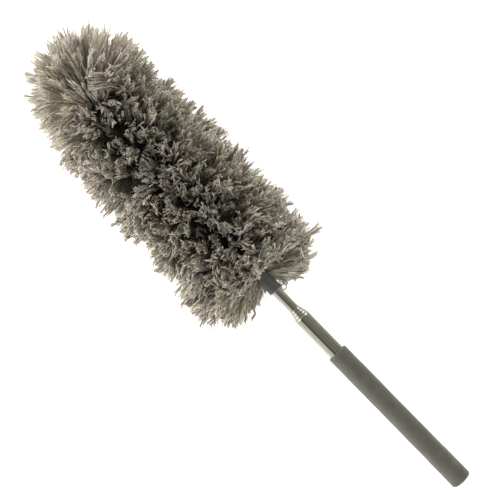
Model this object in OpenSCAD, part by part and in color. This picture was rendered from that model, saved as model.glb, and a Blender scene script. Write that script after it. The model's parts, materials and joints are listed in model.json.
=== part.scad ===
// Telescopic yarn duster, lying on a flat surface.
//
// +X runs from the butt of the grip towards the head, +Z is up and Z = 0 is the surface that
// the duster lies on. The origin is the middle of the footprint. Every piece is drawn along
// its own axis first: "along" is the distance from the butt end of the grip, and lie() tips
// that axis so that the butt and the underside of the pile both rest on the surface.

/* [Grip] */
// Diameter of the long barrel of the grip
grip_d = 22.6; // [21:0.1:26]
// Diameter of the thicker butt end
butt_d = 23; // [22.6:0.1:27]
// Length of the thicker butt end
butt_len = 39; // [30:1:60]
// Length of the whole grip
grip_len = 188; // [150:1:210]
// Radius of the rounded corner at the butt
butt_round = 3; // [2:0.1:4]
// Radius of the shallow dome that closes the butt
dome_r = 26; // [20:1:60]
// Radius of the rounded rim at the open end
rim_round = 1.5; // [0.5:0.1:2]

/* [Pole] */
// Diameter of the outer tube
outer_d = 17.5; // [16:0.1:18]
// Step in diameter from one tube to the next
step_d = 1.65; // [1.5:0.05:1.7]
// Thickness of every tube's wall
wall = 0.4; // [0.35:0.01:0.42]
// Distance from the butt to the mouth of the outer tube
outer_mouth = 241.3; // [225:0.1:260]
// Length of each nested tube that shows when the pole is pushed in
stage_show = 3.3; // [3.1:0.1:5]
// Length of the drawn-in neck at each tube's mouth
neck_len = 2.6; // [2.4:0.1:2.8]
// Length of each friction bush
bush_len = 14; // [8:1:20]
// Running clearance on the radius between sliding pieces
slide_gap = 0.05; // [0.02:0.01:0.08]

/* [Head] */
// Diameter of the collar
collar_d = 15.2; // [13:0.1:18]
// Length of the collar
collar_len = 30; // [26:1:40]
// Bare length of the rod below the collar when the pole is pushed in
rod_show = 26.8; // [20:0.1:60]
// Diameter of the core wire
wire_d = 2.5; // [2:0.1:2.6]
// Length along the core for one full twist of the wire
twist_pitch = 15; // [12:1:20]
// Radius of the pile over most of its length
pile_r = 75; // [60:1:85]
// Radius of the pile at its far end
tip_r = 65; // [55:1:70]
// Radius of the pile's rounded end
tip_round = 42; // [30:1:50]
// Length of one band of yarn
band_len = 43; // [40:1:50]
// Length of the tip tuft
tuft_len = 70; // [64:1:90]

/* [Pose] */
// Angle of the pole above the surface
tilt = 7.5; // [7:0.1:8.5]

/* [Hidden] */
$fn = 64;

glue_gap = 0.04;                // radial gap between pieces that are fixed together
crimp_gap = 0.01;               // radial gap under a crimped bush
lip_len = 1.1;                  // straight part of a neck
step_len = 1.5;                 // taper between butt and barrel
plug_seat = 8;                  // inner face of the grip's closed end
plug_flange = 2;
plug_len = 16;
tube_start = plug_seat + plug_flange;
nest_start = plug_seat + plug_len + 2;   // inner end of the second tube
flare_len = 0.6;                // flare and bead that hold the turning bush on the rod
end_play = 0.05;
rod_seat = 10;                  // length of collar above the rod's end
wire_r = wire_d / 2;
strand_r = wire_r + 0.05;       // distance of each strand's centre from the core's axis
core_r = strand_r + wire_r;     // radius of the twisted pair
core_bore = core_r + 0.15;
insert_len = 20;
bands = 6;                      // bands of yarn between the collar end and the tip tuft
band_round = 13;                // shoulder of a band of yarn
first_round = 24;               // shoulder of the band at the collar end
pile_gap = 0.3;                 // gap between the pile and the collar
space = 1000;                   // larger than the duster

function tube_r(stage) = (outer_d - stage * step_d) / 2;      // stage 0 is the outer tube
function tube_bore(stage) = tube_r(stage) - wall;
function tube_mouth(stage) = outer_mouth + stage * stage_show;
function tube_base(stage) = nest_start + (stage - 1) * stage_show;
function mouth_bore(stage) = tube_r(stage + 1) + slide_gap;

rod_stage = 4;
rod_r = tube_r(rod_stage);
collar_at = tube_mouth(rod_stage - 1) + rod_show;
collar_end = collar_at + collar_len;
rod_end = collar_end - rod_seat;
pile_at = collar_at + 6;
tuft_at = pile_at + 17 + bands * band_len;
tip_at = tuft_at + tuft_len;
wire_end = tuft_at;

// Full radius for the bands near the collar, then narrower towards the tip.
function band_r(index) = index <= 4 ? pile_r : pile_r + (tip_r - pile_r) * (index - 4) / 3;
// The first band also covers the stretch around the collar.
function band_at(index) = index == 1 ? pile_at : pile_at + 17 + (index - 1) * band_len;
function band_end(index) = pile_at + 17 + index * band_len;

// Height and place of the butt end of the axis, so that the duster rests on Z = 0 and its
// footprint is centred on the origin.
butt_corner_at = butt_round + dome_r - sqrt(pow(dome_r, 2) - pow(butt_d / 2 - butt_round, 2));
butt_z = butt_round + (butt_d / 2 - butt_round) * cos(tilt) - butt_corner_at * sin(tilt);
reach_min = dome_r * cos(tilt) - dome_r;
reach_max = (tip_at - tip_round) * cos(tilt) + (tip_r - tip_round) * sin(tilt) + tip_round;
butt_x = -(reach_min + reach_max) / 2;

// Takes a solid drawn up the Z axis to the pole's place on the surface.
module lie() {
  translate([butt_x, 0, butt_z])
    rotate([0, 90 - tilt, 0])
      children();
}

// Keeps what is above the surface.
module above_surface() {
  intersection() {
    children();
    translate([-space / 2, -space / 2, 0])
      cube([space, space, space]);
  }
}

// Ring of a rectangular section.
module ring(inner, outer, from, to) {
  translate([inner, from])
    square([outer - inner, to - from]);
}

module grip_outline() {
  butt_r = butt_d / 2;
  grip_r = grip_d / 2;
  intersection() {
    union() {
      translate([butt_r - butt_round, butt_corner_at])
        circle(butt_round);
      ring(0, butt_r - butt_round, 0, butt_len);
      ring(0, butt_r, butt_corner_at, butt_len);
    }
    translate([0, dome_r])
      circle(dome_r, $fn = 128);
  }
  ring(0, butt_r, dome_r, butt_len);
  polygon([
    [0, butt_len],
    [butt_r, butt_len],
    [grip_r, butt_len + step_len],
    [0, butt_len + step_len],
  ]);
  ring(0, grip_r, butt_len + step_len, grip_len - rim_round);
  ring(0, grip_r - rim_round, grip_len - rim_round, grip_len);
  translate([grip_r - rim_round, grip_len - rim_round])
    circle(rim_round);
}

// One moulded sleeve with a closed, domed butt.
module grip_sleeve() {
  color([0.33, 0.32, 0.3])
    lie()
      rotate_extrude($fn = 96)
        difference() {
          grip_outline();
          ring(0, outer_d / 2 + glue_gap, plug_seat, grip_len + 1);
        }
}

// Bung that closes the lower end of the outer tube.
module end_plug() {
  color([0.2, 0.2, 0.2])
    lie()
      rotate_extrude() {
        ring(0, outer_d / 2, plug_seat, tube_start);
        ring(0, tube_bore(0) - glue_gap, tube_start, plug_seat + plug_len);
      }
}

// Section of a tube from its inner end to its mouth, with a drawn-in neck and a round lip.
module tube_section(stage, from) {
  outer = tube_r(stage);
  bore = tube_bore(stage);
  lip = mouth_bore(stage);
  mouth = tube_mouth(stage);
  ring(bore, outer, from, mouth - neck_len);
  polygon([
    [bore, mouth - neck_len],
    [outer, mouth - neck_len],
    [lip + wall, mouth - lip_len],
    [lip, mouth - lip_len],
  ]);
  ring(lip, lip + wall, mouth - lip_len, mouth - wall / 2);
  translate([lip + wall / 2, mouth - wall / 2])
    circle(wall / 2, $fn = 32);
}

module pole_tube(stage, from) {
  color([0.72, 0.71, 0.68])
    lie()
      rotate_extrude()
        tube_section(stage, from);
}

// Brass sleeve crimped on the inner end of a nested tube; it grips the tube around it.
module friction_bush(stage) {
  color([0.75, 0.6, 0.3])
    lie()
      rotate_extrude()
        ring(
          tube_r(stage) + crimp_gap,
          tube_bore(stage - 1) - slide_gap,
          tube_base(stage),
          tube_base(stage) + bush_len
        );
}

module outer_tube() {
  pole_tube(0, tube_start);
}

module second_tube() {
  pole_tube(1, tube_base(1));
}

module second_bush() {
  friction_bush(1);
}

module third_tube() {
  pole_tube(2, tube_base(2));
}

module third_bush() {
  friction_bush(2);
}

module fourth_tube() {
  pole_tube(3, tube_base(3));
}

module fourth_bush() {
  friction_bush(3);
}

// The rod turns in this bush, which slides in the fourth tube.
module rod_bush() {
  base = tube_base(rod_stage);
  color([0.75, 0.6, 0.3])
    lie()
      rotate_extrude()
        ring(rod_r + slide_gap, tube_bore(rod_stage - 1) - slide_gap, base, base + bush_len);
}

// Innermost tube; a flare and a rolled bead hold its bush.
module rod() {
  base = tube_base(rod_stage);
  flare_r = tube_bore(rod_stage - 1) - 2 * slide_gap;
  bead_at = base + bush_len + end_play;
  color([0.74, 0.73, 0.7])
    lie()
      rotate_extrude() {
        ring(rod_r - wall, rod_r, base - end_play - flare_len, rod_end);
        ring(rod_r - wall, flare_r, base - end_play - flare_len, base - end_play);
        ring(rod_r - wall, flare_r, bead_at, bead_at + flare_len);
      }
}

// Steel insert pressed in the rod's end, which holds the foot of the core wire.
module rod_insert() {
  color([0.5, 0.5, 0.5])
    lie()
      rotate_extrude()
        difference() {
          ring(0, rod_r - wall - glue_gap, rod_end - insert_len, rod_end);
          ring(0, core_bore, rod_end - insert_len + 4, rod_end + 1);
        }
}

module collar() {
  collar_r = collar_d / 2;
  edge = 1.2;
  color([0.29, 0.3, 0.29])
    lie()
      rotate_extrude()
        difference() {
          union() {
            ring(0, collar_r - edge, collar_at, collar_end);
            ring(0, collar_r, collar_at + edge, collar_end - edge);
            for (at = [collar_at + edge, collar_end - edge])
              translate([collar_r - edge, at])
                circle(edge, $fn = 32);
          }
          ring(0, rod_r + glue_gap, collar_at - 1, rod_end);
          ring(0, core_bore, rod_end - 1, collar_end + 1);
        }
}

// One wire folded double and twisted; the fold is the bead at the tip.
module core_wire() {
  foot = rod_end - insert_len + 4.2;
  run = wire_end - foot;
  turns = run / twist_pitch;
  color([0.6, 0.6, 0.6])
    lie() {
      translate([0, 0, foot])
        linear_extrude(height = run, twist = -360 * turns, slices = ceil(turns * 12), $fn = 0)
          for (side = [-1, 1])
            translate([side * strand_r, 0])
              circle(wire_r, $fn = 10);
      translate([0, 0, wire_end])
        sphere(core_r, $fn = 32);
    }
}

// Outline of a band of yarn: a barrel with round shoulders and a bore for the core.
module band_outline(radius, from, to, low_round, high_round) {
  bore = core_bore;
  ring(bore, radius - low_round, from, (from + to) / 2);
  ring(bore, radius - high_round, (from + to) / 2, to);
  ring(bore, radius, from + low_round, to - high_round);
  translate([radius - low_round, from + low_round])
    circle(low_round);
  translate([radius - high_round, to - high_round])
    circle(high_round);
}

module pile_band(index) {
  color([0.5, 0.48, 0.43])
    above_surface()
      lie()
        rotate_extrude($fn = 96)
          difference() {
            band_outline(
              band_r(index),
              band_at(index),
              band_end(index),
              index == 1 ? first_round : band_round,
              band_round
            );
            ring(0, collar_d / 2 + pile_gap, pile_at - 1, collar_end + pile_gap);
          }
}

module pile_band_1() {
  pile_band(1);
}

module pile_band_2() {
  pile_band(2);
}

module pile_band_3() {
  pile_band(3);
}

module pile_band_4() {
  pile_band(4);
}

module pile_band_5() {
  pile_band(5);
}

module pile_band_6() {
  pile_band(6);
}

// Round burst of longer yarn that closes the end of the head.
module pile_tip_tuft() {
  color([0.55, 0.53, 0.48])
    above_surface()
      lie()
        difference() {
          rotate_extrude($fn = 96) {
            ring(0, tip_r, tuft_at, tip_at - tip_round);
            intersection() {
              union() {
                ring(0, tip_r - tip_round, tip_at - tip_round, tip_at);
                translate([tip_r - tip_round, tip_at - tip_round])
                  circle(tip_round, $fn = 128);
              }
              ring(0, tip_r, tip_at - tip_round, tip_at);
            }
          }
          translate([0, 0, wire_end])
            sphere(core_bore + pile_gap);
        }
}

grip_sleeve();
end_plug();
outer_tube();
second_tube();
second_bush();
third_tube();
third_bush();
fourth_tube();
fourth_bush();
rod_bush();
rod();
rod_insert();
collar();
core_wire();
pile_band_1();
pile_band_2();
pile_band_3();
pile_band_4();
pile_band_5();
pile_band_6();
pile_tip_tuft();
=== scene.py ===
"""Looks of a telescopic yarn duster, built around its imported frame. Metres, in the row frame."""
import json
import math

import bmesh
import bpy
import numpy as np
from mathutils import Matrix, Vector


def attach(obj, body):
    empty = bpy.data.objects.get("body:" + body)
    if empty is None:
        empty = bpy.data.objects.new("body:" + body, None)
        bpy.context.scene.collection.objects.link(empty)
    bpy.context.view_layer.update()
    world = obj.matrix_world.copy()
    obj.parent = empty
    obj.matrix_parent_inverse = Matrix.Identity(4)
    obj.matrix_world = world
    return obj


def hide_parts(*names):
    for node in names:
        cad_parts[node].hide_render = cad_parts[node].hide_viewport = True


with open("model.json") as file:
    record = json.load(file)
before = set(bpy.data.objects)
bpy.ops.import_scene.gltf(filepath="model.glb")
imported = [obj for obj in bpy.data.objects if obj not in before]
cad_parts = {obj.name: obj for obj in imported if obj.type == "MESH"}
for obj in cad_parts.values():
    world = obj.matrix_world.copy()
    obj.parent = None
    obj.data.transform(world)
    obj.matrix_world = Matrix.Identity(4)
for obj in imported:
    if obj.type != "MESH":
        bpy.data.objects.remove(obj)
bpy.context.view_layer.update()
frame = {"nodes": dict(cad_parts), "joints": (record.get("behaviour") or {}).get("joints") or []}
MM = 0.001
rng = np.random.default_rng(11)

# ---------------------------------------------------------------- the pole's own axes

JOINTS = {joint["name"]: joint for joint in frame["joints"]}
AXIS = np.array(JOINTS["head_spin"]["axis"])
AXIS = AXIS / np.linalg.norm(AXIS)
SIDE = np.array((0.0, 1.0, 0.0))
UP = np.cross(AXIS, SIDE)
LOCAL = np.array((AXIS, SIDE, UP))  # rows: along the pole, across it, away from the floor


def mesh_points(piece):
    """The vertices of a mesh object, one row each."""
    mesh = piece.data
    points = np.empty(len(mesh.vertices) * 3, np.float32)
    mesh.vertices.foreach_get("co", points)
    return points.reshape(-1, 3)


def vertices_of(node):
    return mesh_points(frame["nodes"][node]).astype(float)


HINGE = np.array(JOINTS["head_spin"]["pos_m"])
BUTT = HINGE + AXIS * ((vertices_of("grip_sleeve") - HINGE) @ AXIS).min()


def measures(node):
    """Start and end of a node along the pole from the butt, and its largest radius."""
    local = (vertices_of(node) - BUTT) @ LOCAL.T
    return local[:, 0].min(), local[:, 0].max(), np.hypot(local[:, 1], local[:, 2]).max()


def to_row(points):
    """Points along, across and above the pole, as points in the row frame."""
    return np.asarray(points) @ LOCAL + BUTT


# ---------------------------------------------------------------- meshes


def mesh_piece(name, points, quads, tris, smooth=True):
    """A mesh object from arrays of vertices, four-sided faces and three-sided faces."""
    mesh = bpy.data.meshes.new(name)
    loops = np.concatenate([quads.ravel(), tris.ravel()]).astype(np.int32)
    totals = np.concatenate([np.full(len(quads), 4), np.full(len(tris), 3)]).astype(np.int32)
    starts = np.concatenate([[0], np.cumsum(totals)[:-1]]).astype(np.int32)
    mesh.vertices.add(len(points))
    mesh.vertices.foreach_set("co", points.astype(np.float32).ravel())
    mesh.loops.add(len(loops))
    mesh.loops.foreach_set("vertex_index", loops)
    mesh.polygons.add(len(totals))
    mesh.polygons.foreach_set("loop_start", starts)
    mesh.polygons.foreach_set("loop_total", totals)
    mesh.polygons.foreach_set("use_smooth", np.full(len(totals), smooth))
    mesh.update(calc_edges=True)
    mesh.validate()
    piece = bpy.data.objects.new(name, mesh)
    bpy.context.scene.collection.objects.link(piece)
    return piece


def arc(along, radius, size, start, end, steps=8):
    """Points of a round corner, as (along, radius); angles in degrees from the along axis."""
    angles = np.radians(np.linspace(start, end, steps + 1))
    return [(along + size * math.cos(a), radius + size * math.sin(a)) for a in angles]


def lathe(name, outline, segments=96, closed=False, wander=None):
    """Turns an outline of (along, radius) points round the pole's axis.

    An open outline starts and ends on the axis; a closed one is a ring. wander is a function of
    the place along and round the pole that is added to the radius, away from the axis.
    """
    outline = np.array(outline)
    turn = np.linspace(0, 2 * math.pi, segments, endpoint=False)
    along = np.repeat(outline[:, 0:1], segments, axis=1)
    radius = np.repeat(outline[:, 1:2], segments, axis=1)
    if wander is not None:
        radius = radius + wander(along, turn[None, :]) * (radius > 1 * MM)
    points = np.stack([along, radius * np.cos(turn), radius * np.sin(turn)], axis=-1)
    rows = len(outline)
    index = np.arange(rows * segments).reshape(rows, segments)
    after = np.roll(index, -1, axis=1)
    if closed:
        below, above = index, np.roll(index, -1, axis=0)
        below_next, above_next = after, np.roll(after, -1, axis=0)
        quads = np.stack([below, below_next, above_next, above], axis=-1).reshape(-1, 4)
        tris = np.empty((0, 3), int)
    else:
        inner = slice(1, rows - 2)
        quads = np.stack(
            [index[inner], after[inner], after[2 : rows - 1], index[2 : rows - 1]], axis=-1
        ).reshape(-1, 4)
        first, last = np.full(segments, index[0, 0]), np.full(segments, index[-1, 0])
        tris = np.concatenate([
            np.stack([first, after[1], index[1]], axis=-1),
            np.stack([last, index[-2], after[-2]], axis=-1),
        ])
    piece = mesh_piece(name, to_row(points.reshape(-1, 3)), quads, tris)
    drop_loose(piece)
    return piece


def drop_loose(piece):
    """Removes vertices that no face uses."""
    mesh = piece.data
    used = np.zeros(len(mesh.vertices), bool)
    corners = np.empty(len(mesh.loops), np.int32)
    mesh.loops.foreach_get("vertex_index", corners)
    used[corners] = True
    if not used.all():
        work = bmesh.new()
        work.from_mesh(mesh)
        work.verts.ensure_lookup_table()
        unused = [work.verts[index] for index in np.flatnonzero(~used)]
        bmesh.ops.delete(work, geom=unused, context="VERTS")
        work.to_mesh(mesh)
        work.free()


def outward(piece):
    """Turns all faces of a closed piece outward."""
    work = bmesh.new()
    work.from_mesh(piece.data)
    bmesh.ops.recalc_face_normals(work, faces=work.faces)
    work.to_mesh(piece.data)
    work.free()


# ---------------------------------------------------------------- materials


class Nodes:
    """Short calls for building one material."""

    def __init__(self, name, roughness, metallic=0.0):
        self.material = bpy.data.materials.new(name)
        self.material.use_nodes = True
        self.tree = self.material.node_tree
        self.shader = self.tree.nodes["Principled BSDF"]
        self.shader.inputs["Roughness"].default_value = roughness
        self.shader.inputs["Metallic"].default_value = metallic

    def add(self, kind, **values):
        """A new node; each value goes to the input of that name, or else to the property."""
        node = self.tree.nodes.new(kind)
        for key, value in values.items():
            if key in node.inputs:
                node.inputs[key].default_value = value
            else:
                setattr(node, key, value)
        return node

    def link(self, start, end):
        self.tree.links.new(start, end)

    def pole_place(self, stretch=(1, 1, 1)):
        """Object coordinates turned to run along the pole, then scaled."""
        place = self.add("ShaderNodeTexCoord")
        turn = self.add("ShaderNodeMapping")
        turn.inputs["Rotation"].default_value = (0, math.asin(AXIS[2]), 0)
        self.link(place.outputs["Object"], turn.inputs["Vector"])
        size = self.add("ShaderNodeMapping")
        size.inputs["Scale"].default_value = stretch
        self.link(turn.outputs["Vector"], size.inputs["Vector"])
        return size.outputs["Vector"]

    def noise(self, place, scale, detail=4.0, roughness=0.55):
        node = self.add("ShaderNodeTexNoise", Scale=scale, Detail=detail, Roughness=roughness)
        self.link(place, node.inputs["Vector"])
        return node.outputs["Fac"]

    def ramp(self, value, stops):
        """Colours for a value, from (place, colour) stops."""
        node = self.add("ShaderNodeValToRGB")
        while len(node.color_ramp.elements) < len(stops):
            node.color_ramp.elements.new(0.5)
        for element, (at, colour) in zip(node.color_ramp.elements, stops):
            element.position = at
            element.color = (*colour, 1)
        self.link(value, node.inputs["Fac"])
        return node.outputs["Color"]

    def between(self, value, low, high):
        """A value of 0 to 1 moved to the range from low to high."""
        node = self.add("ShaderNodeMapRange")
        node.inputs["To Min"].default_value = low
        node.inputs["To Max"].default_value = high
        self.link(value, node.inputs["Value"])
        return node.outputs["Result"]

    def multiply(self, first, second):
        """Two colours multiplied, on the way to the base colour."""
        mix = self.add("ShaderNodeMix", data_type="RGBA", blend_type="MULTIPLY")
        mix.inputs["Factor"].default_value = 1.0
        self.link(first, mix.inputs["A"])
        self.link(second, mix.inputs["B"])
        self.link(mix.outputs["Result"], self.shader.inputs["Base Color"])

    def bump(self, height, strength, distance, before=None):
        node = self.add("ShaderNodeBump", Strength=strength, Distance=distance)
        self.link(height, node.inputs["Height"])
        if before is not None:
            self.link(before, node.inputs["Normal"])
        return node.outputs["Normal"]


def linear(red, green, blue):
    """A colour given as it looks on a screen, 0 to 255, as linear values."""
    shown = np.array((red, green, blue)) / 255
    return tuple(np.where(shown > 0.04045, ((shown + 0.055) / 1.055) ** 2.4, shown / 12.92))


def steel_material():
    """Drawn and polished stainless tube: long fine lines, faint cloudy smudges."""
    n = Nodes("polished_steel", 0.16, 1.0)
    lines = n.noise(n.pole_place((5, 900, 900)), 1.0, 4.0, 0.7)
    cloud = n.noise(n.pole_place(), 60, 3.0)
    tone = n.ramp(lines, [
        (0.3, linear(148, 146, 137)), (0.5, linear(172, 170, 161)), (0.7, linear(190, 188, 178)),
    ])
    n.multiply(tone, n.ramp(cloud, [(0.3, (0.92, 0.92, 0.9)), (0.7, (1.0, 1.0, 1.0))]))
    n.link(n.between(lines, 0.10, 0.24), n.shader.inputs["Roughness"])
    n.link(n.bump(lines, 0.35, 0.03 * MM), n.shader.inputs["Normal"])
    return n.material


def grip_material():
    """Soft-touch rubber: dark olive grey with faint mottling, rubbed places and a fine skin."""
    n = Nodes("grip_rubber", 0.5)
    n.shader.inputs["Specular IOR Level"].default_value = 0.45
    place = n.pole_place()
    mottle = n.noise(place, 90, 5.0)
    tone = n.ramp(mottle, [
        (0.25, linear(94, 92, 85)), (0.55, linear(102, 100, 93)), (0.8, linear(109, 107, 100)),
    ])
    n.link(tone, n.shader.inputs["Base Color"])
    rub = n.noise(n.pole_place((0.35, 1, 1)), 70, 4.0)
    n.link(n.between(rub, 0.4, 0.62), n.shader.inputs["Roughness"])
    skin = n.noise(place, 2600, 2.0)
    n.link(n.bump(skin, 0.18, 0.05 * MM), n.shader.inputs["Normal"])
    return n.material


def collar_material():
    """Moulded plastic, darker than the grip, with a slightly uneven face."""
    n = Nodes("collar_plastic", 0.45)
    place = n.pole_place()
    mottle = n.noise(place, 260, 4.0)
    tone = n.ramp(mottle, [(0.3, linear(84, 89, 85)), (0.7, linear(104, 107, 99))])
    n.link(tone, n.shader.inputs["Base Color"])
    n.link(n.between(mottle, 0.36, 0.55), n.shader.inputs["Roughness"])
    n.link(n.bump(n.noise(place, 1500, 3.0), 0.25, 0.06 * MM), n.shader.inputs["Normal"])
    return n.material


def plug_material():
    """Dark moulded plastic inside the pole."""
    n = Nodes("plug_plastic", 0.5)
    mottle = n.noise(n.pole_place(), 300)
    tone = n.ramp(mottle, [(0.3, linear(45, 45, 44)), (0.7, linear(60, 60, 58))])
    n.link(tone, n.shader.inputs["Base Color"])
    return n.material


def brass_material():
    """Drawn brass, rubbed brighter where it slides."""
    n = Nodes("bush_brass", 0.3, 1.0)
    rub = n.noise(n.pole_place((40, 300, 300)), 1.0, 3.0)
    tone = n.ramp(rub, [(0.3, linear(176, 142, 84)), (0.7, linear(214, 184, 120))])
    n.link(tone, n.shader.inputs["Base Color"])
    n.link(n.between(rub, 0.22, 0.4), n.shader.inputs["Roughness"])
    return n.material


def wire_material():
    """Dull drawn wire."""
    n = Nodes("wire_steel", 0.35, 1.0)
    dull = n.noise(n.pole_place(), 400, 4.0)
    tone = n.ramp(dull, [(0.3, linear(120, 119, 114)), (0.7, linear(168, 167, 160))])
    n.link(tone, n.shader.inputs["Base Color"])
    n.link(n.between(dull, 0.28, 0.5), n.shader.inputs["Roughness"])
    return n.material


def yarn_material(name):
    """Cut microfibre yarn: each strand's tint, with its painted shade and light, is on its mesh,
    broken up by fine fibre noise.
    """
    n = Nodes(name, 0.9)
    n.shader.inputs["Sheen Weight"].default_value = 0.25
    n.shader.inputs["Sheen Roughness"].default_value = 0.5
    n.shader.inputs["Specular IOR Level"].default_value = 0.2
    n.shader.inputs["Subsurface Weight"].default_value = 0.3
    n.shader.inputs["Subsurface Radius"].default_value = (1.0, 0.95, 0.85)
    n.shader.inputs["Subsurface Scale"].default_value = 1.5 * MM
    tint = n.add("ShaderNodeAttribute", attribute_name="tint")
    place = n.add("ShaderNodeTexCoord").outputs["Object"]
    around = n.add("ShaderNodeUVMap", uv_map="OFBake")
    stretch = n.add("ShaderNodeMapping")
    stretch.inputs["Scale"].default_value = (420, 110, 1)
    n.link(around.outputs["UV"], stretch.inputs["Vector"])
    streak = n.noise(stretch.outputs["Vector"], 1.0, 2.0, 0.6)
    fibre = n.noise(place, 900, 4.0, 0.65)
    both = n.add("ShaderNodeMath", operation="ADD")
    n.link(streak, both.inputs[0])
    n.link(fibre, both.inputs[1])
    half = n.add("ShaderNodeMath", operation="MULTIPLY")
    half.inputs[1].default_value = 0.5
    n.link(both.outputs["Value"], half.inputs[0])
    shade = n.ramp(half.outputs["Value"], [(0.32, (0.62, 0.62, 0.62)), (0.68, (1.3, 1.29, 1.27))])
    n.multiply(tint.outputs["Color"], shade)
    lines = n.bump(streak, 0.55, 0.5 * MM)
    n.link(n.bump(n.noise(place, 1600, 3.0), 0.5, 0.4 * MM, lines), n.shader.inputs["Normal"])
    return n.material


STEEL = steel_material()
GRIP = grip_material()
COLLAR = collar_material()
PLUG = plug_material()
BRASS = brass_material()
WIRE = wire_material()
YARN = yarn_material("yarn")


def dress(piece, material, body, slot, *nodes):
    """Gives a piece its material and its body, and hides the CAD nodes that it stands for. Its slot
    is not used.
    """
    piece.data.materials.clear()
    piece.data.materials.append(material)
    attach(piece, body)
    if nodes:
        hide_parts(*nodes)


# ---------------------------------------------------------------- grip, tubes, collar

WALL = 0.4 * MM
NECK = 2.6 * MM     # length over which a tube's far end is drawn in
LIP = 1.1 * MM      # length of its narrow mouth
OUTER_R = measures("outer_tube")[2]
STEP = (OUTER_R - measures("fourth_tube")[2]) / 3  # from one tube's radius to the next
ROD_R = measures("fourth_tube")[2] - STEP
SLIP = 0.05 * MM    # room between faces that touch in CAD


def grip_wander(along, turn):
    """The small unevenness of a moulded sleeve."""
    return 0.05 * MM * np.sin(along * 95 + 1.0) + 0.04 * MM * np.sin(along * 210 + 2 * turn)


def make_grip():
    """The sleeve: a domed butt, a low step where the thicker butt ends, then the long barrel."""
    start, end, butt_r = measures("grip_sleeve")
    barrel_r = butt_r - 0.2 * MM
    bore = OUTER_R + SLIP
    round_off, dome, step_at, rim = 3 * MM, 26 * MM, 39 * MM, 1.5 * MM
    corner_r = butt_r - round_off
    corner_at = round_off + dome - math.sqrt(dome**2 - corner_r**2)
    lean = math.degrees(math.asin(corner_r / dome))
    outline = [(start, 0)]
    outline += arc(dome, 0, dome, 180 - 1, 180 - lean, 10)
    outline += arc(corner_at, corner_r, round_off, 180 - lean, 90, 10)[1:]
    outline += [(at, butt_r) for at in np.linspace(corner_at + 3 * MM, step_at - 0.8 * MM, 8)]
    outline += [
        (step_at - 0.2 * MM, butt_r - 0.02 * MM),
        (step_at + 0.7 * MM, (butt_r + barrel_r) / 2),
        (step_at + 1.6 * MM, barrel_r + 0.02 * MM),
    ]
    outline += [(at, barrel_r) for at in np.linspace(step_at + 2.6 * MM, end - rim - 1 * MM, 40)]
    outline += arc(end - rim, barrel_r - rim, rim, 90, 0, 8)
    outline += arc(end - 0.5 * MM, bore + 0.5 * MM, 0.5 * MM, 0, -90, 4)
    floor_at = start + 8 * MM
    outline += [(end - 12 * MM, bore), (floor_at, bore), (floor_at, 0)]
    piece = lathe("grip_sleeve_skin", outline, 128, wander=grip_wander)
    outward(piece)
    dress(piece, GRIP, "handle", "grip_rubber", "grip_sleeve")


def make_tube(name, node, body, mouth_r):
    """A drawn tube whose far end is rolled in to the bore mouth_r, with a bead round the mouth."""
    start, end, outer = measures(node)
    bore = outer - WALL
    outline = [(start, bore), (start, outer)]
    outline += [(at, outer) for at in np.linspace(start + 1 * MM, end - NECK - 0.3 * MM, 12)]
    lip_r = mouth_r + WALL
    for share in np.linspace(0, 1, 9):
        ease = share * share * (3 - 2 * share)
        at = end - NECK + share * (NECK - LIP - 0.1 * MM)
        outline.append((at, outer - (outer - lip_r + 0.05 * MM) * ease))
    bead = 0.5 * MM
    outline += arc(end - bead, lip_r + 0.26 * MM - bead, bead, 140, 0, 12)
    outline += arc(end - 0.25 * MM, mouth_r + 0.25 * MM, 0.25 * MM, 0, -90, 4)
    outline += [(end - LIP, mouth_r), (end - NECK, bore)]
    piece = lathe(name, outline, 96, closed=True)
    outward(piece)
    dress(piece, STEEL, body, "tube_steel", node)


def make_rod():
    """The innermost tube, flared at its foot and beaded above its bush, which it holds."""
    start, end, flare = measures("rod")
    radius = ROD_R
    bore = radius - WALL
    bush_start, bush_end, _ = measures("rod_bush")
    outline = [(start, bore), (start, flare), (bush_start - SLIP, flare)]
    outline += [(bush_start - SLIP, radius), (bush_end + SLIP, radius)]
    outline += arc(bush_end + 0.35 * MM, flare - 0.3 * MM, 0.3 * MM, 180, 0, 8)
    outline += [(bush_end + 0.65 * MM, radius)]
    outline += [(at, radius) for at in np.linspace(bush_end + 2 * MM, end, 30)]
    outline += [(end, bore)]
    piece = lathe("rod_tube", outline, 96, closed=True)
    outward(piece)
    dress(piece, STEEL, "head", "tube_steel", "rod")


def collar_wander(along, turn):
    """The small unevenness of the moulded collar."""
    return 0.06 * MM * np.sin(along * 300 + 3 * turn)


def make_collar():
    """The sleeve on the rod's end, with a narrow hole for the core wire beyond the rod."""
    start, end, radius = measures("collar")
    rod_r = ROD_R + 0.04 * MM
    neck_r = 2.75 * MM
    step = measures("rod")[1]
    edge = 1.2 * MM
    outline = arc(start + 0.4 * MM, rod_r + 0.4 * MM, 0.4 * MM, -90, -180, 4)
    outline += arc(start + edge, radius - edge, edge, 180, 90, 8)
    outline += [(at, radius) for at in np.linspace(start + 3 * MM, end - 3 * MM, 10)]
    outline += arc(end - edge, radius - edge, edge, 90, 0, 8)
    outline += [(end, neck_r), (step, neck_r), (step, rod_r)]
    piece = lathe("collar_sleeve", outline, 96, closed=True, wander=collar_wander)
    outward(piece)
    dress(piece, COLLAR, "head", "collar_plastic", "collar")


make_grip()
TUBES = {
    "outer_tube": "handle", "second_tube": "second_stage", "third_tube": "third_stage",
    "fourth_tube": "fourth_stage",
}
for order, (node, body) in enumerate(TUBES.items()):
    inner_r = OUTER_R - (order + 1) * STEP
    make_tube(node + "_drawn", node, body, inner_r + SLIP)
make_rod()
make_collar()

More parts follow.
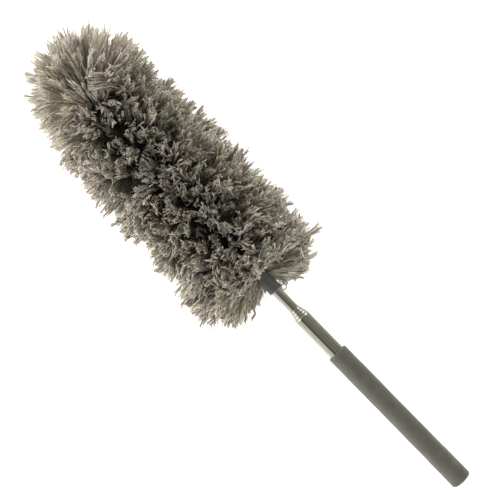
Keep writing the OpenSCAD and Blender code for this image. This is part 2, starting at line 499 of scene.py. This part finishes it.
INSIDE = {  # CAD nodes that stay as they are
    "end_plug": PLUG, "second_bush": BRASS, "third_bush": BRASS, "fourth_bush": BRASS,
    "rod_bush": BRASS, "rod_insert": WIRE, "core_wire": WIRE,
}
for node, material in INSIDE.items():
    cad = frame["nodes"][node]
    cad.data.materials.clear()
    cad.data.materials.append(material)

# ---------------------------------------------------------------- the pile

BANDS = [f"pile_band_{index}" for index in range(1, 7)] + ["pile_tip_tuft"]
BAND_ENDS = [measures(node)[1] for node in BANDS]
PILE_R = measures(BANDS[1])[2]
WIRE_FOOT = measures("collar")[1] - 4 * MM  # the yarn starts a little inside the collar
WIRE_TIP = BAND_ENDS[-2]
HELIX = 48 * MM                             # pitch of the fuller yarn wound along the wire
GOLDEN = math.pi * (3 - math.sqrt(5))       # the turn from one clump to the next
FLOOR_GAP = 1.8 * MM
SAG = 0.14                                  # how far the yarn bends down under its weight

# The kinds of clump: along the wire, at its tip, laid back round the collar, combed over the tip.
BODY, TIP, FOOT, LOCK = range(4)

# One value for each kind of clump, in that order.
CLUMPS = (1250, 290, 150, 6)
STRANDS_EACH = np.array([7, 7, 8, 8])
FREE_FROM = np.array([0.4, 0.1, 0.14, 0.3])         # share of a strand's reach where it starts
CLUMP_BEND = np.array([0.22, 0.22, 0.3, 0.05])      # how far a clump bends as one
COMBED_SHARE = np.array([0.07, 0.06, 0.1, 0])       # share of clumps that are bent hard over
COMBED_BEND = np.array([0.95, 0.6, 0.5, 0])         # how far those bend
SWAY_SHARE = np.array([1, 0.5, 0.6, 0])             # how much of the slow bend they follow
STRAND_BEND = np.array([0.10, 0.07, 0.17, 0.09])    # how far a strand bends by itself
CRIMP = np.array([1.0, 0.6, 1.4, 0.5])              # how wavy the strands are
LOOSE = np.array([0.03, 0.018, 0.033, 0.035])       # scatter of the strands' directions, radians
SHORT_SHARE = np.array([0.22, 0.3, 0.6, 0.1])       # share of strands that are cut short
SHADE_SCATTER = np.array([0.22, 0.25, 0.19, 0.19])  # scatter of the strands' brightness
# Yarn brightness of each kind, partly painted light: the yarn at the tip is painted about half as
# bright again, as lit by the lamp beyond the tip.
BRIGHTNESS_AND_PAINTED_LIGHT = np.array([0.97, 1.54, 1.09, 1.18])

LOCK_TURN = 130                             # where round the pole the combed lock starts, degrees
LOCK_BEND = (0.8, 2.0, 0.1)
STRAY_SHARE, STRAY_BEND = 0.07, 0.42        # single thin filaments that stand away from the rest
# Stray filaments are painted 1.7 times brighter: painted light, for thin threads lit above the
# shaded pile.
STRAY_THICK, STRAY_PAINTED_LIGHT = 0.55, 1.7


def unit(vectors):
    return vectors / np.linalg.norm(vectors, axis=-1, keepdims=True)


def upward(turn):
    """1 for yarn that stands straight up from the pole, falling to 0 where it is level or below."""
    return np.clip(np.sin(turn), 0, 1)


def near_tip(along, within):
    """1 at the tip of the wire, falling to 0 at a distance of within."""
    return np.clip((along - WIRE_TIP) / within + 1, 0, 1)


def pointed(kind):
    """Whether strands belong to the longer yarn at the tip."""
    return (kind == TIP) | (kind == LOCK)


def pile_radius(along, turn):
    """Reach of the yarn from the pole's axis, a little different on the two sides."""
    stops = WIRE_TIP - np.array([255, 210, 185, 110, 60, 0]) * MM
    middle = np.interp(along, stops, [79.5, 76.5, 71.5, 73, 71.5, 68])
    uneven = np.interp(along, stops, [1.5, 1.5, -1.5, -2.5, -3.5, -8])
    return (middle + uneven * np.cos(turn)) * MM


def ridge_offset(along, turn):
    """Distance along the pole to the nearest turn of the helix of fuller yarn."""
    phase = along / HELIX - turn / (2 * math.pi) + 0.15
    return (phase - np.round(phase)) * HELIX


def sway(along, turn):
    """A slow change over the pile of the way that its clumps are bent."""
    total = np.zeros((len(along), 3))
    for length in (95, 60, 38):
        waves = rng.integers(-3, 4, 3)
        phase = rng.uniform(0, 2 * math.pi, 3)
        rise = along[:, None] * 2 * math.pi / (length * MM)
        total += 0.075 * np.sin(rise + turn[:, None] * waves + phase)
    return total


def clump_leans(along, turn, kind, tip_order):
    """How far each clump leans towards the tip, in degrees, or back over the collar if negative."""
    body, _, foot, lock = CLUMPS
    sideways = np.cos(turn[kind == FOOT])
    lean = np.concatenate([
        rng.normal(0, 5, body),
        np.degrees(np.arcsin(np.clip(0.1 + 0.9 * tip_order, 0, 1))),
        -rng.random(foot) ** 0.95 * (38 - 12 * sideways)
        * np.clip(0.15 + 1.5 * np.abs(sideways), 0, 1),
        np.zeros(lock),
    ])
    above = upward(turn)
    lean = np.where(kind == TIP, lean + (66 - lean) * above * 0.6, lean)
    parted = (along < WIRE_FOOT + 14 * MM) & (above > 0.35)  # leaves the top of the collar bare
    lean = np.where(parted, np.maximum(lean, 6 * above), lean)
    lean = lean + np.where(kind == BODY, 20 * near_tip(along, 50 * MM) ** 2, 0)
    to_ridge = np.degrees(0.3 * ridge_offset(along, turn) / PILE_R)
    return lean - np.where((kind == BODY) & ~parted, to_ridge, 0)


def clump_lengths(along, turn, lean, kind):
    """How far each clump reaches from its root."""
    ridge = 3.5 * MM * np.cos(2 * math.pi * ridge_offset(along, turn) / HELIX)
    length = pile_radius(along, turn) + ridge
    angle = np.radians(lean)
    burst = 62 + 2.5 * np.sin(angle) - 9.5 * np.cos(turn) * np.cos(angle)
    length = np.where(kind == TIP, burst * MM, length)
    laid_back = np.interp(-lean, [0, 12, 34], [76, 69, 60])
    length = np.where(kind == FOOT, laid_back * MM, length)
    length = np.where(kind == LOCK, 86 * MM, length)
    scatter = rng.normal(0, 1, len(length))
    uneven = np.minimum(0.96 + (0.036 + 0.05 * upward(turn)) * scatter, 1.01)
    return length * np.where(kind == TIP, np.minimum(0.985 + 0.08 * scatter, 1.05), uneven)


def clumps():
    """Root, turn, lean, length, kind and painted light of each clump of strands."""
    body, tip, foot, lock = CLUMPS
    kind = np.repeat([BODY, TIP, FOOT, LOCK], CLUMPS)
    order = [(np.arange(count) + rng.uniform(-1.2, 1.2, count)) / count for count in CLUMPS]
    span = WIRE_TIP - WIRE_FOOT - 9 * MM
    along = np.concatenate([
        WIRE_FOOT + 3 * MM + order[BODY] * span + rng.normal(0, 4, body) * MM,
        WIRE_TIP - 12 * MM * rng.random(tip) ** 1.5,
        WIRE_FOOT + 5 * MM * rng.random(foot),
        WIRE_TIP - (21 + rng.normal(0, 2, lock)) * MM,
    ])
    turn = np.concatenate([np.arange(count) for count in CLUMPS]) * GOLDEN
    turn = turn + rng.normal(0, 0.08, len(turn))
    turn[-lock:] = np.radians(rng.normal(LOCK_TURN, 5, lock))
    lean = clump_leans(along, turn, kind, order[TIP])
    length = clump_lengths(along, turn, lean, kind)
    left = np.cos(turn)
    at_end = near_tip(along, 50 * MM)
    brushed = at_end * np.clip(0.6 + left, 0, 1.2) + rng.normal(0, 0.12, len(turn)) > 0.45
    kind = np.where((kind == BODY) & brushed, TIP, kind)
    # Painted light: body clumps within 50 mm of the wire's tip, and all clumps within 90 mm of it
    # towards the +Y side, are painted brighter, where the lamps at the tip and at +Y light the pile
    # most.
    painted_light = 1 + 0.3 * at_end * (kind == BODY)
    painted_light = painted_light + 0.2 * near_tip(along, 90 * MM) * np.clip(0.3 + left, 0, 1)
    return along, turn, np.radians(lean), length, kind, painted_light


def clump_bends(along, turn, kind):
    """The way that each clump bends, along, across and above the pole."""
    bend = rng.normal(0, 1, (len(along), 3)) * CLUMP_BEND[kind][:, None]
    bend *= 1 + 0.7 * np.where(kind == BODY, upward(turn), 0)[:, None]
    combed = rng.random(len(along)) < COMBED_SHARE[kind]
    bend = np.where(combed[:, None], unit(bend) * COMBED_BEND[kind][:, None], bend)
    bend += sway(along, turn) * SWAY_SHARE[kind][:, None]
    bend[kind == LOCK] += LOCK_BEND
    return bend


def strand_paths(rings=8):
    """Centre lines of all strands, with the facts that each mesh and colour needs."""
    along, turn, lean, length, kind, painted_light = clumps()
    owner = np.repeat(np.arange(len(along)), STRANDS_EACH[kind])
    count = len(owner)
    clump_bend = clump_bends(along, turn, kind)[owner]
    kind = kind[owner]
    at_tip = kind == TIP

    root = along[owner] + rng.normal(0, 1.6, count) * MM
    swing = turn[owner] + rng.normal(0, 1, count) * LOOSE[kind]
    tilt = np.minimum(lean[owner] + rng.normal(0, 0.9, count) * LOOSE[kind], math.pi / 2)
    uneven = rng.normal(0.99, np.where(at_tip, 0.08, 0.045))
    reach = length[owner] * np.minimum(uneven, np.where(at_tip, 1.1, 1.07))
    short = rng.random(count) < SHORT_SHARE[kind]
    reach = reach * np.where(short, rng.uniform(0.55, 1, count), 1)
    radial = np.stack([np.zeros(count), np.cos(swing), np.sin(swing)], -1)
    heading = np.cos(tilt)[:, None] * radial + np.sin(tilt)[:, None] * np.array((1.0, 0, 0))

    first = FREE_FROM[kind][:, None]
    grow = np.linspace(0, 1, rings)[None, :]
    share = first + (1 - first) * grow
    stray = rng.random(count) < STRAY_SHARE * (kind != LOCK)
    own_bend = np.where(stray, STRAY_BEND, STRAND_BEND[kind])[:, None]
    bend = clump_bend + rng.normal(0, 1, (count, 3)) * own_bend
    bend -= SAG * LOCAL[:, 2]
    wave = grow * reach[:, None] / (rng.uniform(14, 28, (count, 1)) * MM) * 2 * math.pi
    crimp = rng.uniform(0.08, 0.42, (count, 3)) * CRIMP[kind][:, None]
    phase = rng.uniform(0, 2 * math.pi, (count, 3))
    ripple = crimp[:, None, :] * np.sin(wave[:, :, None] + phase[:, None, :])
    ahead = unit(heading[:, None, :] + bend[:, None, :] * grow[:, :, None] ** 1.3 + ripple)
    step = (reach * (1 - first[:, 0]) / (rings - 1))[:, None, None]
    travelled = np.cumsum(ahead[:, :-1] * step, axis=1)
    path = np.concatenate([np.zeros((count, 1, 3)), travelled], axis=1)
    path = path + (heading * (reach * first[:, 0])[:, None])[:, None, :]
    path[:, :, 0] += root[:, None]

    thick = rng.uniform(0.75, 1.25, count) * np.where(at_tip, 1.22, 1.0)
    thick = thick * np.where(stray, STRAY_THICK, 1.0) * MM
    # Painted light: stray filaments are painted brighter, as lit threads above the pile.
    painted_light = painted_light[owner] * np.where(stray, STRAY_PAINTED_LIGHT, 1)
    return path, thick, kind, owner, share, painted_light


def rest_on_floor(points, layer):
    """Bends points in the row frame that would go through the floor out along it."""
    low = FLOOR_GAP + layer
    sunk = np.maximum(low - points[..., 2], 0)
    points[..., 2] = np.maximum(points[..., 2], low)
    points[..., 1] += np.sign(points[..., 1]) * sunk * 0.45
    return points


class Strands:
    """Collects round strands and makes one mesh of them, each on a tile of the OFBake map."""

    WIDE, FLAT = 1.15, 0.8      # a strand is a little oval
    UNEVEN = (0.72, 1.28)       # least and most of its thickness from corner to corner
    CAP = 0.1                   # share of a tile's height that each end of a strand takes
    MARGIN = 0.08               # empty edge of a tile

    def __init__(self):
        self.points, self.quads, self.tris, self.tints = [], [], [], []
        self.quad_maps, self.tri_maps = [], []
        self.vertices = 0
        self.strands = 0

    def add(self, paths, radii, sides, tints, blunt):
        """Adds a strand along each path; blunt is the length of its end for its radius there."""
        count, rings, _ = paths.shape
        tangent = unit(np.gradient(paths, axis=1))
        guide = unit(rng.normal(0, 1, (count, 1, 3)))
        first = unit(np.cross(tangent, np.broadcast_to(guide, tangent.shape)))
        second = np.cross(tangent, first)
        angle = np.linspace(0, 2 * math.pi, sides, endpoint=False)
        size = radii[:, :, None] * rng.uniform(*self.UNEVEN, (count, rings, sides))
        ring = (
            paths[:, :, None, :]
            + first[:, :, None, :] * (self.WIDE * size * np.cos(angle))[..., None]
            + second[:, :, None, :] * (self.FLAT * size * np.sin(angle))[..., None]
        )
        top_point = paths[:, -1] + tangent[:, -1] * radii[:, -1:] * blunt
        ends = np.stack([paths[:, 0], top_point], axis=1)
        per = rings * sides + 2
        index = np.arange(rings * sides).reshape(rings, sides)
        after = np.roll(index, -1, axis=1)
        quads = np.stack([index[:-1], after[:-1], after[1:], index[1:]], -1).reshape(-1, 4)
        foot = np.stack([np.full(sides, per - 2), after[0], index[0]], -1)
        top = np.stack([np.full(sides, per - 1), index[-1], after[-1]], -1)
        base = self.vertices + (np.arange(count) * per)[:, None, None]
        points = np.concatenate([ring.reshape(count, -1, 3), ends], axis=1)
        self.points.append(points.reshape(-1, 3))
        self.quads.append((quads[None] + base).reshape(-1, 4))
        self.tris.append((np.concatenate([foot, top])[None] + base).reshape(-1, 3))
        ring_tints = np.repeat(tints, sides, axis=1)
        all_tints = np.concatenate([ring_tints, tints[:, :1], tints[:, -1:]], axis=1)
        self.tints.append(all_tints.reshape(-1, 3))
        self.map_tiles(count, rings, sides)
        self.vertices += count * per
        self.strands += count

    def map_tiles(self, count, rings, sides):
        """Lays each strand flat on its tile: round it from left to right, from its foot upward."""
        left = np.arange(sides) / sides
        right = left + 1 / sides
        middle = (left + right) / 2
        rise = (1 - 2 * self.CAP) / (rings - 1)
        low = self.CAP + rise * np.arange(rings - 1)[:, None] + 0 * left
        high = low + rise
        left_all, right_all = left + 0 * low, right + 0 * low
        quad_map = np.stack([
            np.stack([left_all, low], -1), np.stack([right_all, low], -1),
            np.stack([right_all, high], -1), np.stack([left_all, high], -1),
        ], axis=2).reshape(-1, 2)
        level = np.zeros(sides)
        foot_map = np.stack([
            np.stack([middle, level], -1), np.stack([right, level + self.CAP], -1),
            np.stack([left, level + self.CAP], -1),
        ], axis=1)
        top_map = np.stack([
            np.stack([middle, level + 1], -1), np.stack([left, level + 1 - self.CAP], -1),
            np.stack([right, level + 1 - self.CAP], -1),
        ], axis=1)
        tri_map = np.concatenate([foot_map, top_map]).reshape(-1, 2)
        tile = self.strands + np.arange(count)
        for spots, maps in ((quad_map, self.quad_maps), (tri_map, self.tri_maps)):
            maps.append((np.repeat(tile, len(spots)), np.tile(spots, (count, 1))))

    def piece(self, name):
        """The mesh object of all strands, with their tints."""
        piece = mesh_piece(
            name, np.concatenate(self.points), np.concatenate(self.quads), np.concatenate(self.tris)
        )
        tint_vertices(piece, np.concatenate(self.tints))
        grid = math.ceil(math.sqrt(self.strands))
        tile = np.concatenate([item[0] for item in self.quad_maps + self.tri_maps])
        spot = np.concatenate([item[1] for item in self.quad_maps + self.tri_maps])
        corner = np.stack([tile % grid, tile // grid], -1)
        inside = self.MARGIN + (1 - 2 * self.MARGIN) * spot
        layer = piece.data.uv_layers.new(name="OFBake")
        layer.data.foreach_set("uv", ((corner + inside) / grid).ravel())
        return piece


def tint_vertices(piece, tints):
    """Writes a colour for each vertex where the yarn material reads it."""
    colours = np.concatenate([tints, np.ones((len(tints), 1))], axis=1)
    attribute = piece.data.attributes.new("tint", "FLOAT_COLOR", "POINT")
    attribute.data.foreach_set("color", colours.ravel())


PLIES = 3                                       # that open out of the cut end of each strand
BLUNT_PLY = np.array([0.38, 0.5, 0.55, 0.46])   # its radius at four points, for its strand's
FINE_PLY = np.array([0.3, 0.42, 0.34, 0.12])


def frayed_ends(path, thick, kind):
    """Centre lines and radii of the plies of each strand."""
    shape = len(path), PLIES
    ahead = unit(path[:, -1] - path[:, -2])
    long_ends = pointed(kind)[:, None]
    length = rng.uniform(0.2, 1.5, shape) * np.where(long_ends, 2.8, 1.0) * MM
    spine = np.concatenate([path[:, -3:, None, :], path[:, -1:, None, :]], axis=1)
    spine = spine.repeat(PLIES, axis=2)
    spine[:, 3] += ahead[:, None, :] * length[..., None]
    apart = rng.normal(0, 1, (len(path), 1, PLIES, 3)) * (thick * 0.7)[:, None, None, None]
    open_out = np.array([0.5, 0.9, 1.3, 2.1])[None, :, None, None]
    paths = (spine + apart * open_out).transpose(0, 2, 1, 3).reshape(-1, 4, 3)
    size = np.where(long_ends[..., None], FINE_PLY, BLUNT_PLY) * thick[:, None, None]
    return paths, (size * rng.uniform(0.8, 1.2, (*shape, 1))).reshape(-1, 4)


def loose_curl():
    """One loose end that curls out beside the collar and back to the rod."""
    turn = np.radians(np.linspace(55, -235, 24))
    size = 2.9 * MM
    along = measures("collar")[0] - 2.4 * MM + size * np.cos(turn)
    across = -ROD_R - 3.0 * MM + size * np.sin(turn)
    height = 1.5 * MM + 0.8 * MM * np.sin(turn * 1.4)
    return to_row(np.stack([along, across, height], -1))[None]


TINTS = np.array([
    linear(200, 192, 177), linear(193, 189, 172), linear(203, 190, 180), linear(186, 180, 164),
])
BRIGHTEST = 0.7                         # most that one channel of a strand's tint may be
COLLAR_TONE = (0.975, 1.0, 0.975)       # the yarn round the collar is a little greener
CURL_TINT = TINTS[0] * 0.45
PLY_FADE = np.array([0.8, 0.92, 1.0, 1.1])[None, :, None]


def strand_tints(kind, owner, painted_light, facing):
    """Colour of each strand, brightened by its clump's painted light. Body strands get painted
    light and shade by the way their ends face: brighter at the sides, darker facing up, as strands
    that face up shade each other.
    """
    clump_tint = TINTS[rng.integers(0, len(TINTS), owner.max() + 1)]
    shade = painted_light * rng.normal(1.0, 0.11, owner.max() + 1)[owner]
    shade = shade * rng.normal(0.96, SHADE_SCATTER[kind])
    shade = np.clip(shade, 0.55, 1.7) * BRIGHTNESS_AND_PAINTED_LIGHT[kind]
    tone = np.where((kind == FOOT)[:, None], COLLAR_TONE, 1.0)
    tint = clump_tint[owner] * tone * shade[:, None]
    tint = tint * np.minimum(BRIGHTEST / tint.max(axis=1, keepdims=True), 1)
    # Painted light and shade: body strands are painted brighter where their ends face sideways and
    # darker where they face straight up.
    darker = 1.15 - 0.32 * facing - 0.14 * np.clip(facing * 10 - 9, 0, 1)
    return tint * np.where(kind[:, None] == BODY, darker, 1)


def painted_depth_shading(share, kind, facing):
    """Painted shade and light along each strand, from its root out: darker inside the pile, where
    it is in shadow, and brighter than its tint at the lit end.
    """
    stops = [0.1, 0.5, 0.8, 1]
    deep = np.interp(share, stops, [0.08, 0.12, 0.35, 1.1])
    shallow = np.interp(share, stops, [0.42, 0.68, 0.98, 1.12])
    body = shallow + (deep - shallow) * facing
    stops = [0.1, 0.4, 1]
    tip = np.interp(share, stops, [0.5, 0.92, 1.14])
    other = np.interp(share, stops, [0.3, 0.72, 1.18])
    kind = kind[:, None]
    return np.where(kind == BODY, body, np.where(kind == TIP, tip, other))


# Yarn pieces: one for each CAD band, and two more that stand for no node of their own.
PIECES = [*BANDS, "pile_tip_under", "pile_collar"]
TUFT, UNDER, ROUND_COLLAR = range(len(BANDS) - 1, len(PIECES))


def piece_of_strand(path, kind, height):
    """Place in PIECES of the piece that each strand belongs to, by where the strand ends."""
    end_along = (path[:, -1] - BUTT) @ AXIS
    group = np.minimum(np.searchsorted(BAND_ENDS, end_along), TUFT)
    group = np.where(pointed(kind), np.maximum(group, TUFT - 1), group)
    group = np.where((group == TUFT) & (height < 0), UNDER, group)
    return np.where(kind == FOOT, ROUND_COLLAR, group)


def make_pile():
    path, thick, kind, owner, share, painted_light = strand_paths()
    layer = rng.random(len(path))[:, None] ** 2 * 5 * MM
    path = rest_on_floor(to_row(path), layer)
    swell = np.interp(share, [0, 0.5, 0.9, 1], [0.8, 0.85, 1.12, 1.0])
    taper = np.interp(share, [0, 0.5, 0.85, 1], [0.9, 1.0, 0.75, 0.45])
    radii = thick[:, None] * np.where(pointed(kind)[:, None], taper, swell)
    height = (path[:, -1] - BUTT) @ UP
    facing = np.clip(height / np.hypot(height, path[:, -1, 1]), 0, 1)[:, None]
    tint = strand_tints(kind, owner, painted_light, facing)
    ring_tint = tint[:, None, :] * painted_depth_shading(share, kind, facing)[:, :, None]
    group = piece_of_strand(path, kind, height)
    for order, name in enumerate(PIECES):
        mine = np.flatnonzero(group == order)
        strands = Strands()
        strands.add(path[mine], radii[mine], 3, ring_tint[mine], 0.4)
        ply, ply_radii = frayed_ends(path[mine], thick[mine], kind[mine])
        ply = rest_on_floor(ply, np.repeat(layer[mine], PLIES, axis=0))
        ply_tint = np.repeat(tint[mine], PLIES, axis=0)[:, None, :] * PLY_FADE
        strands.add(ply, ply_radii, 3, ply_tint, 0.5)
        if order == 0:
            curl = loose_curl()
            curl_tint = np.tile(CURL_TINT, (*curl.shape[:2], 1))
            strands.add(curl, np.full(curl.shape[:2], 0.65 * MM), 6, curl_tint, 0.6)
        slot = "yarn_tip" if "tip" in name else "yarn"
        dress(strands.piece(name + "_yarn"), YARN, "head", slot, *BANDS[order : order + 1])


def make_inner_pile():
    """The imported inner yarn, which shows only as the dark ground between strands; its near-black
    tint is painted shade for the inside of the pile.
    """
    rows = 120
    along = np.linspace(WIRE_FOOT, WIRE_TIP - 6 * MM, rows)
    share = np.linspace(0, 1, rows)
    foot, tip = np.clip(share / 0.14, 0, 1) ** 0.6, np.clip((1 - share) / 0.22, 0, 1) ** 0.6
    radius = 0.42 * PILE_R * foot * tip
    along = np.concatenate([along[:1], along, along[-1:]])
    radius = np.concatenate([[0], radius + 2 * MM, [0]])
    seeds = rng.uniform(0, 2 * math.pi, 6)

    def lumps(at, turn):
        wave = np.sin(at * 700 + 3 * np.sin(turn * 5 + seeds[0]))
        wave = wave * np.sin(turn * 17 + seeds[1] + at * 260)
        fine = np.sin(at * 1500 + turn * 9 + seeds[2]) * np.sin(turn * 31 + seeds[3])
        return 1.6 * MM * (wave + 0.6 * fine)

    piece = lathe("pile_inner_yarn", list(zip(along, radius)), 160, wander=lumps)
    # Painted shade: the inner yarn is tinted at 0.12 of a yarn colour, for the shadow deep in the
    # pile.
    tint_vertices(piece, np.tile(TINTS[3] * 0.12, (len(piece.data.vertices), 1)))
    points = mesh_points(piece)
    points[:, 2] = np.maximum(points[:, 2], 3 * MM)
    piece.data.vertices.foreach_set("co", points.ravel())
    outward(piece)
    dress(piece, YARN, "head", "yarn")


make_pile()
make_inner_pile()

# ---------------------------------------------------------------- camera, floor and light

VIEW_AT = to_row((0.3272, -0.010, 0))  # the point on the pole's plane that the camera looks at
VIEW_WIDTH = 0.52                      # width of the picture there
LENS = 100
SENSOR = 36
POLE_SLOPE = math.radians(45.6)        # the pole's slope across the picture


def make_camera():
    """A camera straight above the pole's plane, turned so that the pole slopes up to the left."""
    data = bpy.data.cameras.new("camera")
    data.lens = LENS
    data.sensor_width = SENSOR
    camera = bpy.data.objects.new("camera", data)
    bpy.context.scene.collection.objects.link(camera)
    right = -math.cos(POLE_SLOPE) * AXIS - math.sin(POLE_SLOPE) * SIDE
    above = math.sin(POLE_SLOPE) * AXIS - math.cos(POLE_SLOPE) * SIDE
    place = VIEW_AT + UP * VIEW_WIDTH * LENS / SENSOR
    turn = Matrix((right, above, UP)).transposed().to_4x4()
    camera.matrix_world = Matrix.Translation(Vector(place)) @ turn
    data.clip_end = 50
    bpy.context.scene.camera = camera


def panel_light(name, place, facing, width, height, brightness):
    """A soft panel; brightness is what the camera would see of it, 1 for white."""
    data = bpy.data.lights.new(name, "AREA")
    data.shape = "RECTANGLE"
    data.size, data.size_y = width, height
    data.energy = brightness * math.pi * width * height
    light = bpy.data.objects.new(name, data)
    bpy.context.scene.collection.objects.link(light)
    light.location = place
    light.rotation_mode = "QUATERNION"
    light.rotation_quaternion = Vector(facing).to_track_quat("-Z", "Y")


def flat_card(name, finish, low, high, height, colour):
    """A level card between two corners, and the shader of its material, which finish names."""
    corners = [(low[0], low[1]), (high[0], low[1]), (high[0], high[1]), (low[0], high[1])]
    points = np.array([(x, y, height) for x, y in corners])
    card = mesh_piece(name, points, np.array([[0, 1, 2, 3]]), np.empty((0, 3), int), smooth=False)
    material = bpy.data.materials.new(finish)
    material.use_nodes = True
    shader = material.node_tree.nodes["Principled BSDF"]
    shader.inputs["Base Color"].default_value = (*colour, 1)
    shader.inputs["Roughness"].default_value = 0.9
    card.data.materials.append(material)
    return card, shader


def make_floor():
    """A pale floor that is lit a little from below, as a light table is."""
    floor, shader = flat_card("floor", "pale_floor", (-6, -6), (6, 6), 0, (0.9, 0.9, 0.9))
    shader.inputs["Emission Color"].default_value = (1, 1, 1, 1)
    shader.inputs["Emission Strength"].default_value = 0.68


def make_world():
    """A dim warm room, darker to the left of overhead, and plain white where the camera sees it."""
    world = bpy.data.worlds.new("studio")
    bpy.context.scene.world = world
    world.use_nodes = True
    tree = world.node_tree
    back = tree.nodes["Background"]
    place = tree.nodes.new("ShaderNodeTexCoord")
    parts = tree.nodes.new("ShaderNodeSeparateXYZ")
    tree.links.new(place.outputs["Generated"], parts.inputs["Vector"])
    room = tree.nodes.new("ShaderNodeMapRange")
    room.inputs["From Min"].default_value = -0.1
    room.inputs["From Max"].default_value = 0.45
    room.inputs["To Min"].default_value = 0.345
    room.inputs["To Max"].default_value = 0.2
    tree.links.new(parts.outputs["Y"], room.inputs["Value"])
    path = tree.nodes.new("ShaderNodeLightPath")
    level = tree.nodes.new("ShaderNodeMapRange")
    level.inputs["To Max"].default_value = 0.95
    tree.links.new(room.outputs["Result"], level.inputs["To Min"])
    tree.links.new(path.outputs["Is Camera Ray"], level.inputs["Value"])
    tree.links.new(level.outputs["Result"], back.inputs["Strength"])
    colour = tree.nodes.new("ShaderNodeMix")
    colour.data_type = "RGBA"
    colour.inputs["A"].default_value = (1, 0.95, 0.84, 1)
    colour.inputs["B"].default_value = (1, 1, 1, 1)
    tree.links.new(path.outputs["Is Camera Ray"], colour.inputs["Factor"])
    tree.links.new(colour.outputs["Result"], back.inputs["Color"])


def make_flag():
    """A dim card on the floor beside the pole, which only the steel and the grip reflect."""
    low, high = to_row((0, 0, 0))[0] - 0.02, to_row((0.31, 0, 0))[0]
    dim = (0.2, 0.19, 0.16)
    card, _ = flat_card("flag", "flag_card", (low, -0.5), (high, -0.11), 2 * MM, dim)
    for ray in ("camera", "diffuse", "transmission", "volume_scatter", "shadow"):
        setattr(card, "visible_" + ray, False)


make_camera()
make_floor()
make_flag()
make_world()

GRIP_MIDDLE = to_row((0.14, 0, 0))
HEAD_MIDDLE = to_row((0.47, 0, 0))
PANELS = {  # name: place from, offset, the way it faces, width, height, brightness
    "grip_panel": (GRIP_MIDDLE, (0, 0.9, 0.4), (0, -1, 0), 0.7, 0.75, 1.02),
    "head_left": (HEAD_MIDDLE, (0.2, 0.7, 0.2), (0, -1, 0), 0.6, 0.7, 2.65),
    "head_right": (HEAD_MIDDLE, (0.04, -0.7, 0.2), (0, 1, 0), 0.5, 0.7, 3.25),
    "tip_panel": (HEAD_MIDDLE, (1.8, 0.85, 0.95), (-1, -0.45, -0.45), 3.1, 1.9, 3.3),
    "butt_panel": (GRIP_MIDDLE, (-0.9, 0.2, 0.4), (1, -0.1, -0.1), 1.4, 0.9, 1.3),
}
for name, (middle, offset, facing, width, height, brightness) in PANELS.items():
    panel_light(name, middle + np.array(offset), facing, width, height, brightness)
bpy.context.scene.view_settings.view_transform = "Standard"
